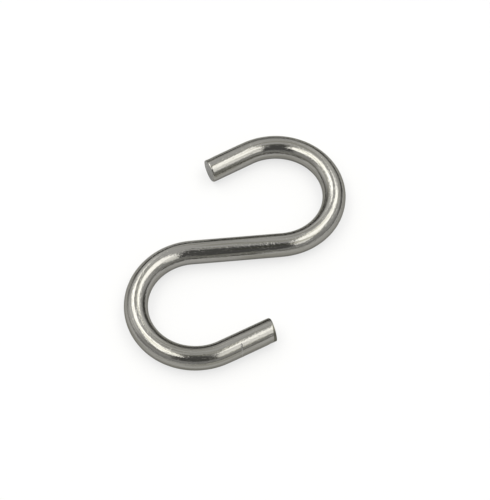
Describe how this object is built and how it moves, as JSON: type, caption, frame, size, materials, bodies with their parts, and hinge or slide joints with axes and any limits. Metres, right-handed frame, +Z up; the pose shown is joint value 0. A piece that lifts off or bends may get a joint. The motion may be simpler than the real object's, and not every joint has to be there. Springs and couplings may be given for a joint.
{
  "type": "s hook",
  "caption": "S hook bent from round steel wire: equal open bowls on a short straight shank, with straight tails cropped slightly off square and deburred.",
  "frame": {"origin": "under the middle of the hook's box, on the surface that the hook lies on; the middle of the straight shank is 0.4 mm from it, on the -X side", "axes": "+Z up, at right angles to the plane of the S; the line through the centres of both bowls runs along Y, with the upper bowl at +Y and its tail on the -X side"},
  "size_m": [0.0358, 0.0608, 0.005],
  "materials": {
    "steel": "drawn satin stainless"
  },
  "bodies": {
    "root": {"hook": "steel"}
  },
  "joints": []
}
